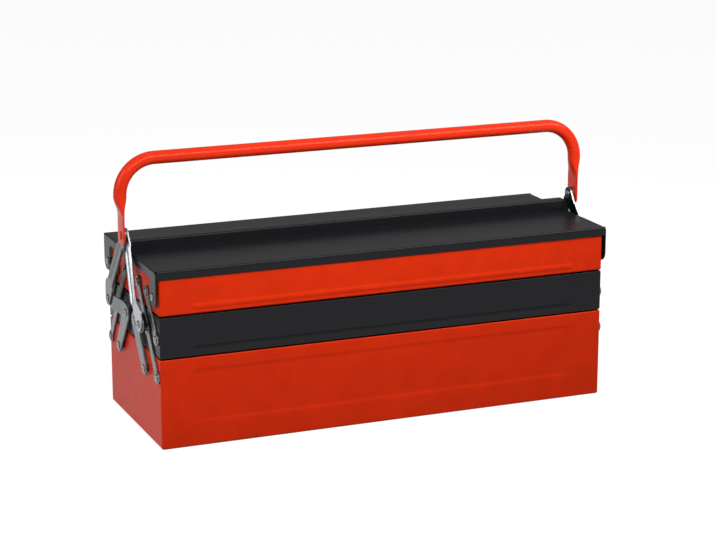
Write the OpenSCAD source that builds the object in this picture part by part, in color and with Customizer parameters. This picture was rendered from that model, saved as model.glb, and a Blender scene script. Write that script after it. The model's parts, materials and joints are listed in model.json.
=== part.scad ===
// Cantilever tool box: a deep bottom box, two middle trays and two lidded top trays.
// Riveted links at both ends carry the trays outwards while the carrying handle drops.
// Origin: centre of the underside. X runs along the length, -Y is the front, +Z is up.
// Every end piece is drawn for the right rear corner (+X, +Y) and mirrored to the others.

/* [Box and trays] */
// Length of the bottom box and of the trays
body_len = 540; // [500:1:600]
// Depth of the bottom box, front to back
body_w = 196; // [188:1:220]
// Height of the bottom box
box_h = 102; // [96:1:130]
// Height of each tray
tray_h = 46.8; // [44:0.2:56]
// Gap under each tray
tray_gap = 1.2; // [1.1:0.1:2]
// Gap between the front and the rear trays
tray_split = 3; // [2:0.5:6]
// Thickness of the sheet steel
sheet_t = 0.8; // [0.6:0.1:1.2]
// Outer radius of the sheet's bends
bend_r = 2.2; // [1.5:0.1:4]
// Height of the folded hem on each rim
hem_h = 5; // [3:0.5:7]
// Thickness of the folded hem
hem_t = 2; // [1.6:0.1:2.6]

/* [Pressed beads] */
// Width of the long bead in each tray's outer wall
bead_w = 7; // [4:0.5:12]
// Height of that bead's middle above the tray's floor
bead_z = 10; // [8:0.5:20]
// Distance of every bead from the ends
bead_inset = 39; // [25:1:80]
// Depth that beads and panels are pressed in
bead_depth = 1.2; // [0.6:0.1:2]
// Lower edge of the pressed panel in the bottom box
panel_z0 = 29; // [15:1:40]
// Distance of that panel's upper edge below the rim
panel_drop = 15; // [8:1:25]
// Corner radius of the panel
panel_r = 5; // [2:0.5:12]

/* [Lids] */
// How far each lid stands out past the trays' ends
lid_overhang = 4.2; // [4:0.1:8]
// Height of the lids' turned-down flanges
lid_flange_h = 10; // [6:0.5:14]
// Gap between a lid's front flange and the tray's wall
lid_gap = 0.3; // [0.2:0.1:1]
// Clear height between the tray's rim and the lid
lid_clear = 3.8; // [3.4:0.1:6]
// Distance of the lid hinge from the tray's outer wall
hinge_inset = 12; // [10:0.5:16]
// Distance of the lid hinge below the tray's rim
hinge_drop = 26; // [22:0.5:28]
// Radius of the hinge ear
ear_r = 11; // [9:0.5:12]
// Fillet between the ear and the flange
ear_fillet = 6; // [2:0.5:8]
// Gap between the two lids
lid_split = 0.6; // [0.4:0.1:2]
// Width of the raised ridge on the rear lid
ridge_w = 15; // [10:0.5:24]
// Height of the ridge above the lid
ridge_h = 12.4; // [8:0.2:16]
// Distance of the ridge's foot from the lid's ends
ridge_inset = 1; // [1:0.5:30]
// How far the ridge's ends slant in at the top
ridge_slant = 0; // [0:0.5:10]

/* [Links] */
// Lean of the links from upright, trays closed
link_lean = 34.5; // [30:0.5:38]
// Radius of the eyes of the links
link_r = 7; // [6:0.25:8]
// Half the width of a link between its eyes
link_waist = 4.5; // [3.5:0.25:5.5]
// Radius of the lever's lower end
lever_r = 7.5; // [6:0.25:8.5]
// Thickness of the links, levers and arms
link_t = 2; // [1.5:0.1:2.4]
// Running gap between flat pieces that slide past each other
side_gap = 0.3; // [0.2:0.05:0.5]
// Distance of the outer pivot from the box's outer wall
box_pivot_inset = 9; // [9:0.5:14]
// Distance of the box's pivots below its rim
box_pivot_drop = 21; // [14:0.5:30]
// Height of the middle tray's pivots above its floor
mid_pivot_z = 24.3; // [18:0.1:30]
// Height of the top tray's pivot above its floor
top_pivot_z = 22.8; // [18:0.1:28]
// Distance of the lever's tray pivot from the middle of the box
lever_mid = 17; // [14:0.5:18]
// Spacing of the upper link's pivot from the long link's
upper_gap = 31; // [26:0.5:32]
// How far the upper link's pivots lie below the long link's
upper_drop = 3.5; // [0:0.5:8]
// Elbow outwards from the lever's tray pivot
elbow_out = 43; // [38:1:48]
// Elbow above the lever's tray pivot
elbow_up = 7.5; // [4:0.5:12]
// Half the width of the lever at its elbow end
elbow_r = 9.5; // [8:0.5:11]
// Half the width of the lever at the tray pivot
crank_r = 10.5; // [8:0.5:12]
// How far the lever's elbow end is set outwards along X
lever_set = 6; // [5:0.5:8]
// Where the lever's set begins, from the line through its two lower pivots
lever_set_from = 12; // [11:0.5:13]
// Width over which the lever is set
lever_set_run = 16; // [12:0.5:16]

/* [Arms and handle] */
// Height of the handle's pivot above the lids
apex_rise = 19.4; // [16:0.2:30]
// Half the width of an arm
arm_r = 8; // [7.5:0.25:9]
// Height of the arms' stiffening flanges
arm_flange = 1.8; // [1:0.1:3.2]
// Distance of the flanges' upper end from the handle's pivot
arm_flange_from = 14.5; // [14:0.5:30]
// Distance of the flanges' lower end from the elbow
arm_flange_to = 24; // [16:1:40]
// Radius of the arm's wide lower part
knuckle_r = 11.5; // [10:0.1:11.8]
// Offset of that wide part from the arm's middle line
knuckle_out = 4.5; // [4.4:0.1:5]
// Distance of that wide part above the elbow
knuckle_back = 9; // [4:0.5:14]
// Gap between the pieces stacked on the handle's pivot
stack_gap = 0.5; // [0.3:0.1:1]
// Gap between the lid's end and the inner arm
arm_gap = 1; // [0.6:0.1:2]
// Outer diameter of the handle's tube
tube_d = 15; // [12:0.5:18]
// Wall of the handle's tube
tube_wall = 1.2; // [0.8:0.1:2]
// Height of the tube's middle above the handle's pivot
handle_rise = 85; // [75:1:120]
// Bend radius of the handle, to the tube's middle
handle_bend_r = 40; // [25:1:45]
// Gap between the handle's legs and the lids' ends
leg_gap = 0.5; // [0.4:0.1:2]
// Width of the flattened ends
flat_w = 23; // [18:0.5:24]
// Thickness of the flattened ends
flat_t = 2.6; // [2:0.1:3]
// Distance of the flattened ends' lower edge below the handle's pivot
flat_drop = 10; // [9:0.5:10]
// Corner radius of that lower edge
flat_corner = 5; // [4:0.5:8]
// Height of the flat above the handle's pivot
flat_rise = 25; // [20:1:28]
// Length over which the tube is flattened
flat_run = 15; // [8:1:15]

/* [Rivets] */
// Radius of the link rivets
pin_r = 2.5; // [2:0.1:3]
// Radius of a wall rivet's thinner tail, where it passes through the sheet
tail_r = 1.8; // [1.5:0.1:1.9]
// Radius of the handle's rivets
handle_pin_r = 3; // [2.5:0.1:3.5]
// Radial running clearance on every rivet
fit = 0.06; // [0.02:0.01:0.1]
// Radius of the link rivets' heads
head_r = 4.5; // [4:0.1:5.5]
// Radius of the handle rivets' heads
handle_head_r = 4.8; // [4.6:0.1:6]
// Thickness of the rivet heads
head_t = 1.3; // [1:0.1:1.6]
// Gap between a rivet's head and the piece that turns under it
head_gap = 0.2; // [0.1:0.05:0.3]
// Extra radius of the rear arms' hole for the handle rivet
apex_play = 1; // [0.8:0.1:2]

/* [Hidden] */

$fn = 48;
front = -1;
rear = 1;
left = -1;
right = 1;
red = [0.82, 0.20, 0.07];
black = [0.13, 0.13, 0.14];
zinc = [0.66, 0.68, 0.70];
past = 1; // overshoot of a cut past a face
skin = 0.2; // slices that the handle's flattened stretch is drawn between
snug = 0.01; // keeps a round end's two arcs apart

// Heights
mid_z0 = box_h + tray_gap;
mid_z1 = mid_z0 + tray_h;
top_z0 = mid_z1 + tray_gap;
top_z1 = top_z0 + tray_h;
lid_z0 = top_z1 + lid_clear;
lid_z1 = lid_z0 + sheet_t;

// Depths, measured from the middle plane
body_y = body_w / 2;
tray_y = tray_split / 2;
lid_y = body_y + lid_gap + sheet_t;

// Layers along X at one end
end_x = body_len / 2;
wall_x = end_x - sheet_t;
link_x = end_x + side_gap;
lever_x = link_x + link_t + side_gap;
lid_x = end_x + lid_overhang;
ear_x = lid_x - sheet_t;
inner_arm_x = lid_x + arm_gap;
outer_arm_x = inner_arm_x + link_t + stack_gap;
flat_x = outer_arm_x + link_t + stack_gap;
elbow_x = lever_x + lever_set;
arm_foot_x = elbow_x + link_t + side_gap;
leg_x = lid_x + leg_gap + tube_d / 2;

// Pivots in the (y, z) plane
rise = tan(link_lean);
box_z = box_h - box_pivot_drop;
mid_z = mid_z0 + mid_pivot_z;
top_z = top_z0 + top_pivot_z;
box_outer = [body_y - box_pivot_inset, box_z];
mid_outer = box_outer + [-(mid_z - box_z) * rise, mid_z - box_z];
mid_inner = [lever_mid, mid_z];
box_inner = box_outer + (mid_inner - mid_outer);
top_inner = mid_outer + [-(top_z - mid_z) * rise, top_z - mid_z];
mid_upper = mid_outer + [upper_gap, -upper_drop];
top_upper = mid_upper + (top_inner - mid_outer);
elbow = mid_inner + [elbow_out, elbow_up];
hinge = [body_y - hinge_inset, top_z1 - hinge_drop];
apex = [0, lid_z1 + apex_rise];
arm_len = norm(elbow - apex);
bar_z = apex[1] + handle_rise;

// --- Helpers ---

// Draws children, made for the right rear corner, at the end and half given
module corner(end, half) {
    mirror([end < 0 ? 1 : 0, 0, 0])
        mirror([0, half < 0 ? 1 : 0, 0])
            children();
}

// A (y, z) outline as a plate that starts at x and is t thick
module plate(x, t) {
    translate([x, 0, 0])
        rotate([90, 0, 90])
            linear_extrude(t)
                children();
}

// A (y, z) outline between two round ends of any two radii, with straight tangent sides
module bar(a, b, ra, rb) {
    along = atan2(b[1] - a[1], b[0] - a[0]);
    open = acos((ra - rb) / norm(b - a));
    translate(a) circle(ra);
    translate(b) circle(rb);
    polygon([
        a + ra * [cos(along - open), sin(along - open)],
        b + rb * [cos(along - open), sin(along - open)],
        b + rb * [cos(along + open), sin(along + open)],
        a + ra * [cos(along + open), sin(along + open)]
    ]);
}

// A cylinder along X at a (y, z) point
module pin(at, x0, x1, r) {
    translate([x0, at[0], at[1]])
        rotate([0, 90, 0])
            cylinder(h = x1 - x0, r = r);
}

// A rivet head along X: flat underside at x, domed on the side that dir points to
module head(at, x, r, dir) {
    translate([x, at[0], at[1]])
        rotate([0, 90 * dir, 0]) {
            cylinder(h = head_t * 0.45, r = r);
            translate([0, 0, head_t * 0.45])
                cylinder(h = head_t * 0.55, r1 = r, r2 = r * 0.62);
        }
}

// A rivet through the end wall, with a thinner tail through the sheet; what turns on it ends
// at x1, and a shoulder fills up to x_shoulder
module wall_rivet(at, x_shoulder, x1) {
    pin(at, wall_x, end_x, tail_r);
    pin(at, end_x, x1 + head_gap, pin_r);
    head(at, wall_x, head_r, -1);
    head(at, x1 + head_gap, head_r, 1);
    if (x_shoulder > end_x)
        pin(at, end_x, x_shoulder, head_r - 0.5);
}

// A strip bent out of its plane: it starts at from (y, z), runs towards to, and steps outwards
// in X from x0 to x1 between the distances s0 and s1
module set_strip(from, to, x0, x1, t, s0, s1) {
    reach = 2 * norm(to - from);
    wide = 2 * reach;
    translate([0, from[0], from[1]])
        rotate([atan2(to[1] - from[1], to[0] - from[0]), 0, 0])
            translate([0, 0, -wide])
                linear_extrude(2 * wide)
                    polygon([
                        [x0, -reach], [x0, s0], [x1, s1], [x1, reach],
                        [x1 + t, reach], [x1 + t, s1], [x0 + t, s0], [x0 + t, -reach]
                    ]);
}

// Rectangle with its corners rounded, from p to q
module round_rect(p, q, r) {
    translate([p[0] + r, p[1]]) square([q[0] - p[0] - 2 * r, q[1] - p[1]]);
    translate([p[0], p[1] + r]) square([q[0] - p[0], q[1] - p[1] - 2 * r]);
    for (u = [p[0] + r, q[0] - r], v = [p[1] + r, q[1] - r])
        translate([u, v]) circle(r);
}

// Rectangle from p to q with only its lower corners rounded
module tub_outline(p, q, r) {
    translate([p[0], p[1] + r]) square([q[0] - p[0], q[1] - p[1] - r]);
    translate([p[0] + r, p[1]]) square([q[0] - p[0] - 2 * r, r]);
    for (u = [p[0] + r, q[0] - r])
        translate([u, p[1] + r]) circle(r);
}

// Block with rounded uprights and rounded lower edges, x within +-half_x
module tub(half_x, y0, y1, z0, z1, r) {
    intersection() {
        translate([0, 0, z0]) linear_extrude(z1 - z0) round_rect([-half_x, y0], [half_x, y1], r);
        plate(-half_x, 2 * half_x) tub_outline([y0, z0], [y1, z1], r);
        translate([0, y1, 0]) rotate([90, 0, 0])
            linear_extrude(y1 - y0) tub_outline([-half_x, z0], [half_x, z1], r);
    }
}

// Open sheet-steel pan with a hemmed rim
module pan(half_x, y0, y1, z0, z1) {
    difference() {
        tub(half_x, y0, y1, z0, z1, bend_r);
        tub(half_x - sheet_t, y0 + sheet_t, y1 - sheet_t, z0 + sheet_t, z1 + past, bend_r - sheet_t);
    }
    translate([0, 0, z1 - hem_h])
        linear_extrude(hem_h)
            difference() {
                round_rect([-half_x, y0], [half_x, y1], bend_r);
                round_rect([-half_x + hem_t, y0 + hem_t], [half_x - hem_t, y1 - hem_t], bend_r - sheet_t);
            }
}

// A (x, z) outline as a slab from y0 to y1
module upright(y0, y1) {
    translate([0, y1, 0])
        rotate([90, 0, 0])
            linear_extrude(y1 - y0)
                children();
}

// A pan with one wall pressed inwards. Its children are the pan, the (x, z) outline of the pocket,
// and that outline grown by the sheet. side is the wall's half and wall_y its outer face
module pressed(side, wall_y) {
    difference() {
        union() {
            children(0);
            mirror([0, side < 0 ? 1 : 0, 0])
                upright(wall_y - bead_depth - sheet_t, wall_y - sheet_t / 2) children(2);
        }
        mirror([0, side < 0 ? 1 : 0, 0])
            upright(wall_y - bead_depth, wall_y + past) children(1);
    }
}

// --- Bottom box ---

module box_panel(grow) {
    half = end_x - bead_inset + grow;
    round_rect([-half, panel_z0 - grow], [half, box_h - panel_drop + grow], panel_r + grow);
}

module bottom_box() {
    color(red)
        difference() {
            pressed(front, body_y) {
                pressed(rear, body_y) {
                    pan(end_x, -body_y, body_y, 0, box_h);
                    box_panel(0);
                    box_panel(sheet_t);
                }
                box_panel(0);
                box_panel(sheet_t);
            }
            for (end = [left, right], half = [front, rear], at = [box_outer, box_inner])
                corner(end, half) pin(at, wall_x - past, end_x + past, tail_r + fit);
        }
}

module box_rivets() {
    color(zinc)
        for (end = [left, right], half = [front, rear])
            corner(end, half) {
                wall_rivet(box_outer, 0, link_x + link_t);
                wall_rivet(box_inner, lever_x - head_gap, lever_x + link_t);
            }
}

// --- Trays ---

module tray_bead(z0, grow) {
    half = end_x - bead_inset + grow;
    round_rect([-half, z0 + bead_z - bead_w / 2 - grow], [half, z0 + bead_z + bead_w / 2 + grow],
               bead_w / 2 + grow - snug);
}

// Tray whose floor's underside is at z0, with rivet holes at the (y, z) points given
module tray(half, z0, holes) {
    difference() {
        mirror([0, half < 0 ? 1 : 0, 0])
            pressed(rear, body_y) {
                pan(end_x, tray_y, body_y, z0, z0 + tray_h);
                tray_bead(z0, 0);
                tray_bead(z0, sheet_t);
            }
        for (end = [left, right], at = holes)
            corner(end, half) pin(at, wall_x - past, end_x + past, tail_r + fit);
    }
}

module middle_tray(half) {
    color(black) tray(half, mid_z0, [mid_outer, mid_inner, mid_upper]);
}

module middle_tray_rivets(half) {
    color(zinc)
        for (end = [left, right])
            corner(end, half) {
                wall_rivet(mid_outer, 0, link_x + link_t);
                wall_rivet(mid_upper, 0, link_x + link_t);
                wall_rivet(mid_inner, lever_x - head_gap, lever_x + link_t);
            }
}

module top_tray(half) {
    color(red) tray(half, top_z0, [top_inner, top_upper, hinge]);
}

module top_tray_rivets(half) {
    color(zinc)
        for (end = [left, right])
            corner(end, half) {
                wall_rivet(top_inner, 0, link_x + link_t);
                wall_rivet(top_upper, 0, link_x + link_t);
            }
}

// --- Lids ---

// Outline in (y, z) of a lid's end flange with its hinge ear
module lid_end(inner_y) {
    ear_y = lid_y - ear_r;
    flange_z = lid_z1 - lid_flange_h;
    difference() {
        union() {
            translate([inner_y, flange_z]) square([lid_y - inner_y, lid_flange_h]);
            translate([ear_y, hinge[1]]) circle(ear_r);
            translate([ear_y - ear_r, hinge[1]]) square([2 * ear_r, flange_z - hinge[1] + past]);
            translate([ear_y - ear_r - ear_fillet, flange_z - ear_fillet])
                difference() {
                    square([ear_fillet + past, ear_fillet + past]);
                    circle(ear_fillet);
                }
        }
        translate(hinge) circle(pin_r + fit);
    }
}

// Lid's plate, front flange and ends; inner_y is its edge at the middle of the box
module lid_shell(inner_y) {
    translate([-lid_x, inner_y, lid_z0]) cube([2 * lid_x, lid_y - inner_y, sheet_t]);
    translate([-lid_x, lid_y - sheet_t, lid_z1 - lid_flange_h])
        cube([2 * lid_x, sheet_t, lid_flange_h]);
    for (end = [left, right])
        corner(end, rear) plate(ear_x, sheet_t) lid_end(inner_y);
}

module front_lid() {
    color(black) mirror([0, 1, 0]) lid_shell(lid_split / 2);
}

// Solid of the ridge, shrunk on every side by the sheet when shrink is the sheet's thickness
module ridge_solid(shrink) {
    foot = lid_x - ridge_inset - shrink;
    ridge_y0 = lid_split / 2 + shrink;
    top = lid_z1 + ridge_h - shrink;
    upright(ridge_y0, lid_split / 2 + ridge_w - shrink)
        polygon([
            [-foot, lid_z0 - shrink], [foot, lid_z0 - shrink], [foot, lid_z1],
            [foot - ridge_slant, top], [-foot + ridge_slant, top], [-foot, lid_z1]
        ]);
}

module rear_lid() {
    color(black)
        difference() {
            union() {
                lid_shell(lid_split / 2);
                ridge_solid(0);
            }
            ridge_solid(sheet_t);
        }
}

module lid_rivets(half) {
    color(zinc)
        for (end = [left, right])
            corner(end, half) wall_rivet(hinge, ear_x - head_gap, lid_x);
}

// --- Links ---

// Flat strip through the pivots in order, with an eye and a hole at each
module eye_strip(pivots) {
    plate(link_x, link_t)
        difference() {
            union() {
                bar(pivots[0], pivots[len(pivots) - 1], link_waist, link_waist);
                for (at = pivots)
                    translate(at) circle(link_r);
            }
            for (at = pivots)
                translate(at) circle(pin_r + fit);
        }
}

module long_link(end, half) {
    color(zinc) corner(end, half) eye_strip([box_outer, mid_outer, top_inner]);
}

module upper_link(end, half) {
    color(zinc) corner(end, half) eye_strip([mid_upper, top_upper]);
}

// Bell crank from the box to the middle tray and out to the arm's elbow, bent along its leg
module lever(end, half) {
    leg_normal = [mid_inner[1] - box_inner[1], box_inner[0] - mid_inner[0]];
    color(zinc)
        corner(end, half)
            difference() {
                intersection() {
                    plate(lever_x - past, lever_set + link_t + 2 * past) {
                        bar(box_inner, mid_inner, lever_r, crank_r);
                        bar(mid_inner, elbow, crank_r, elbow_r);
                    }
                    set_strip(mid_inner, mid_inner + leg_normal, lever_x, elbow_x, link_t,
                              lever_set_from, lever_set_from + lever_set_run);
                }
                for (at = [box_inner, mid_inner, elbow])
                    pin(at, lever_x - past, elbow_x + link_t + past, pin_r + fit);
            }
}

module elbow_rivets(half) {
    color(zinc)
        for (end = [left, right])
            corner(end, half) {
                pin(elbow, elbow_x - head_gap, arm_foot_x + link_t + head_gap, pin_r);
                head(elbow, elbow_x - head_gap, head_r, -1);
                head(elbow, arm_foot_x + link_t + head_gap, head_r, 1);
            }
}

// Arm from the handle's pivot, where its layer is x0, down to the elbow
module arm(end, half, x0, hole_r) {
    toward = (elbow - apex) / arm_len;
    across = [-toward[1], toward[0]];
    bent_from = arm_flange_from;
    bent_to = arm_len - arm_flange_to;
    wide = elbow - toward * knuckle_back + across * knuckle_out;
    color(zinc)
        corner(end, half)
            difference() {
                union() {
                    intersection() {
                        plate(x0 - past, arm_foot_x - x0 + link_t + 2 * past) {
                            bar(apex, elbow, arm_r, arm_r);
                            bar(apex + toward * bent_to, wide, arm_r, knuckle_r);
                            bar(wide, elbow, knuckle_r, arm_r);
                        }
                        set_strip(apex, elbow, x0, arm_foot_x, link_t, bent_from, bent_to);
                    }
                    intersection() {
                        set_strip(apex, elbow, x0 + link_t / 2, arm_foot_x + link_t / 2,
                                  link_t / 2 + arm_flange, bent_from, bent_to);
                        for (side = [-1, 1])
                            plate(x0, arm_foot_x - x0 + link_t + arm_flange + past)
                                polygon([
                                    apex + toward * (bent_from + skin) + across * side * (arm_r - skin),
                                    apex + toward * (bent_to - skin) + across * side * (arm_r - skin),
                                    apex + toward * (bent_to - skin) + across * side * (arm_r - link_t),
                                    apex + toward * (bent_from + skin) + across * side * (arm_r - link_t)
                                ]);
                    }
                }
                pin(apex, x0 - past, x0 + link_t + past, hole_r);
                pin(elbow, arm_foot_x - past, arm_foot_x + link_t + past, pin_r + fit);
            }
}

// --- Handle ---

// Tube section of radius r: bar, two bends and two legs down to the flattened stretch
module handle_tube(r) {
    bend_x = leg_x - handle_bend_r;
    bend_z = bar_z - handle_bend_r;
    leg_z = apex[1] + flat_rise + flat_run;
    translate([-bend_x, 0, bar_z]) rotate([0, 90, 0]) cylinder(h = 2 * bend_x, r = r);
    for (end = [left, right])
        corner(end, rear) {
            translate([bend_x, 0, bend_z])
                rotate([90, 0, 0])
                    rotate_extrude(angle = 90)
                        translate([handle_bend_r, 0]) circle(r);
            translate([leg_x, 0, leg_z]) cylinder(h = bend_z - leg_z, r = r);
        }
}

module handle() {
    flat_z = apex[1] + flat_rise;
    color(red) {
        difference() {
            handle_tube(tube_d / 2);
            handle_tube(tube_d / 2 - tube_wall);
        }
        for (end = [left, right])
            corner(end, rear) {
                hull() {
                    translate([leg_x, 0, flat_z + flat_run]) cylinder(h = skin, d = tube_d, $fn = 32);
                    translate([flat_x, -flat_w / 2, flat_z - skin]) cube([flat_t, flat_w, skin]);
                }
                difference() {
                    plate(flat_x, flat_t)
                        tub_outline([-flat_w / 2, apex[1] - flat_drop], [flat_w / 2, flat_z], flat_corner);
                    pin(apex, flat_x - past, flat_x + flat_t + past, handle_pin_r + fit);
                }
            }
    }
}

module handle_rivets() {
    color(zinc)
        for (end = [left, right])
            corner(end, rear) {
                pin(apex, inner_arm_x - head_gap, flat_x + flat_t + head_gap, handle_pin_r);
                head(apex, inner_arm_x - head_gap, handle_head_r, -1);
                head(apex, flat_x + flat_t + head_gap, handle_head_r, 1);
            }
}

// --- Assembly ---

bottom_box();
box_rivets();
middle_tray(front);  // front_middle_tray
middle_tray_rivets(front);  // front_middle_tray_rivets
top_tray(front);  // front_top_tray
top_tray_rivets(front);  // front_top_tray_rivets
front_lid();
lid_rivets(front);  // front_lid_rivets
long_link(left, front);  // front_left_long_link
long_link(right, front);  // front_right_long_link
upper_link(left, front);  // front_left_upper_link
upper_link(right, front);  // front_right_upper_link
lever(left, front);  // front_left_lever
lever(right, front);  // front_right_lever
elbow_rivets(front);  // front_elbow_rivets
arm(left, front, inner_arm_x, handle_pin_r + fit);  // front_left_arm
arm(right, front, inner_arm_x, handle_pin_r + fit);  // front_right_arm
middle_tray(rear);  // rear_middle_tray
middle_tray_rivets(rear);  // rear_middle_tray_rivets
top_tray(rear);  // rear_top_tray
top_tray_rivets(rear);  // rear_top_tray_rivets
rear_lid();
lid_rivets(rear);  // rear_lid_rivets
long_link(left, rear);  // rear_left_long_link
long_link(right, rear);  // rear_right_long_link
upper_link(left, rear);  // rear_left_upper_link
upper_link(right, rear);  // rear_right_upper_link
lever(left, rear);  // rear_left_lever
lever(right, rear);  // rear_right_lever
elbow_rivets(rear);  // rear_elbow_rivets
arm(left, rear, outer_arm_x, handle_pin_r + apex_play);  // rear_left_arm
arm(right, rear, outer_arm_x, handle_pin_r + apex_play);  // rear_right_arm
handle();
handle_rivets();
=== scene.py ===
"""Cantilever tool box: pressed sheet-steel trays, lids, riveted links and a tubular handle.

Every piece is drawn in metres for the right rear corner (+X, +Y) and mirrored to the others.
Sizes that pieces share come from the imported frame, so nothing has to be fitted by hand.
"""

import json
import math

import bmesh
import bpy
from bpy.props import FloatProperty, FloatVectorProperty, IntProperty, PointerProperty
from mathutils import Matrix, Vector


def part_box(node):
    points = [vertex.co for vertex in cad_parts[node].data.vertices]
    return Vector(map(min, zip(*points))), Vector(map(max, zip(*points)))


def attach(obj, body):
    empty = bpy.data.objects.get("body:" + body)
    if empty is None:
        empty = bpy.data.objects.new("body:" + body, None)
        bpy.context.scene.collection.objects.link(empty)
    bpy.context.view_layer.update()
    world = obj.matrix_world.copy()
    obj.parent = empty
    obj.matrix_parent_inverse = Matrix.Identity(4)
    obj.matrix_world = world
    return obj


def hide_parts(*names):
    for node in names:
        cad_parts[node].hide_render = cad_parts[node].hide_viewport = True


bl_info = {
    "name": "Cantilever tool box",
    "version": (1, 0, 0),
    "blender": (4, 5, 0),
    "location": "3D View > Sidebar > Tool box",
    "description": "Builds the sheet-metal pieces of a cantilever tool box round its packed frame",
    "category": "Object",
}

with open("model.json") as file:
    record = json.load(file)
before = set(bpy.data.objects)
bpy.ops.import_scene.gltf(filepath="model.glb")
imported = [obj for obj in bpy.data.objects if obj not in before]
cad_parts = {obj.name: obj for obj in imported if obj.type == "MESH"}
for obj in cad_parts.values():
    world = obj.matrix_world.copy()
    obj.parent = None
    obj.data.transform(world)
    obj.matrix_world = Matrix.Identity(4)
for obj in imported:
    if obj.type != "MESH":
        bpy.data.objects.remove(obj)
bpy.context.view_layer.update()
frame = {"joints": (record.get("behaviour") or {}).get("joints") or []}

MM = 0.001

# Points nearer than MERGE become one, and a length under TINY counts as none.
MERGE = 0.002 * MM
TINY = 0.0001 * MM

# The sides of Y and X that the halves and the ends lie on, and all four corners of the box.
HALVES = {"front": -1, "rear": 1}
ENDS = {"left": -1, "right": 1}
CORNERS = [(half, end, h, e) for half, h in HALVES.items() for end, e in ENDS.items()]

# Rounding of punched edges, gap between a lever and its arm, and thickness of the handle's ends.
EASED_EDGE = 0.35 * MM
ELBOW_GAP = 0.3 * MM
FLAT_THICKNESS = 2.6 * MM


# --- Sizes read from the frame ---


def top_of(node):
    """Highest corner of a CAD node."""
    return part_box(node)[1]


def foot_of(node):
    """Lowest corner of a CAD node."""
    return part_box(node)[0]


def pivot(joint):
    """A rear joint's point as (depth from the middle, height)."""
    at = next(j for j in frame["joints"] if j["name"] == joint)["pos_m"]
    return Vector((abs(at[1]), at[2]))


# Faces of the pieces. STRIP is the thickness of the links, levers and arms.
END_X = top_of("bottom_box").x
BODY_Y = top_of("bottom_box").y
LID_X = top_of("rear_lid").x
LID_TOP = top_of("front_lid").z
LINK_X0 = foot_of("rear_right_long_link").x
LINK_X1 = top_of("rear_right_long_link").x
STRIP = LINK_X1 - LINK_X0
LEVER_X0 = foot_of("rear_right_lever").x
ELBOW_X1 = top_of("rear_right_lever").x
ARM_X0 = {h: foot_of(h + "_right_arm").x for h in HALVES}
HANDLE_TOP = top_of("handle").z
HANDLE_X1 = top_of("handle").x
HANDLE_RIVET_X1 = top_of("handle_rivets").x

# Pivots in (depth, height): of the box, both trays, the elbow, the lid and the handle.
BOX_OUTER = pivot("rear_long_links_turn")
BOX_INNER = pivot("rear_levers_turn")
MID_OUTER = pivot("rear_middle_tray_level")
MID_INNER = BOX_INNER + MID_OUTER - BOX_OUTER
MID_UPPER = pivot("rear_upper_links_turn")
TOP_INNER = pivot("rear_top_tray_level")
TOP_UPPER = MID_UPPER + TOP_INNER - MID_OUTER
ELBOW = pivot("rear_arms_turn")
HINGE = pivot("rear_lid_open")
APEX = pivot("handle_level")


# --- Properties ---


def length_property(name, description, default, low, high):
    """A length that a user may change, in millimetres here and in metres in Blender."""
    return FloatProperty(
        name=name, description=description, default=default * MM, min=low * MM, max=high * MM,
        subtype="DISTANCE", unit="LENGTH",
    )


def colour_property(name, description, default):
    """The colour of a coat, in linear red, green and blue."""
    return FloatVectorProperty(
        name=name, description=description, default=default, size=3, min=0, max=1,
        subtype="COLOR",
    )


class SheetSizes(bpy.types.PropertyGroup):
    """Sizes of the pressed sheet-steel pieces."""

    sheet: length_property("Sheet", "Thickness of the sheet steel", 0.8, 0.5, 2)
    bend: length_property("Bend", "Outer radius of the bends in the trays", 2.2, 1, 5)
    lid_bend: length_property("Lid bend", "Outer radius of the bends round the lids", 2.2, 0.9, 3)
    hem: length_property("Hem", "Thickness of the folded rim", 2, 1.2, 3)
    hem_height: length_property("Hem height", "Height of the folded rim", 5, 2, 10)
    ridge_width: length_property("Ridge width", "Width of the ridge on the rear lid", 15, 10, 24)
    ridge_inset: length_property(
        "Ridge inset", "Distance of the ridge's ends from the lid's ends", 1, 1, 30,
    )
    ridge_bend: length_property("Ridge bend", "Outer radius of the ridge's upper edges", 2.2, 1, 3)
    lid_flange: length_property("Lid flange", "Height of the flanges round a lid", 10, 6, 14)
    ear: length_property("Ear", "Radius of a lid's ears at the hinge", 11, 9, 13)
    ear_bore: length_property("Ear bore", "Radius of the hinge's hole in an ear", 2.56, 2.1, 3.1)
    ear_fillet: length_property("Ear fillet", "Radius between a lid's flange and its ear", 6, 3, 9)
    bead_depth: length_property(
        "Bead depth", "Height of the trays' beads over their walls", 0.6, 0.4, 2,
    )
    panel_depth: length_property(
        "Panel depth", "Depth of the panels pressed in the bottom box", 0.55, 0.3, 2,
    )
    bead_inset: length_property("Bead inset", "Distance of every bead from the ends", 39, 20, 80)
    bead_height: length_property(
        "Bead height", "Height of the bead's middle above a tray's floor", 8.5, 6, 20,
    )
    bead_width: length_property(
        "Bead width", "Width of the long bead in a tray's outer wall", 5, 4, 12,
    )
    panel_foot: length_property(
        "Panel foot", "Lower edge of the pressed panel in the bottom box", 29, 15, 40,
    )
    panel_head: length_property(
        "Panel head", "Upper edge of the pressed panel in the bottom box", 87, 60, 95,
    )
    panel_corner: length_property("Panel corner", "Corner radius of the pressed panel", 5, 2, 12)
    panel_slope: length_property(
        "Panel slope", "Width of the sloping sides of the bottom box's panels", 6, 0.5, 8,
    )
    bead_slope: length_property(
        "Bead slope", "Width of the sloping sides of the trays' beads", 3.8, 0.5, 8,
    )


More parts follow.
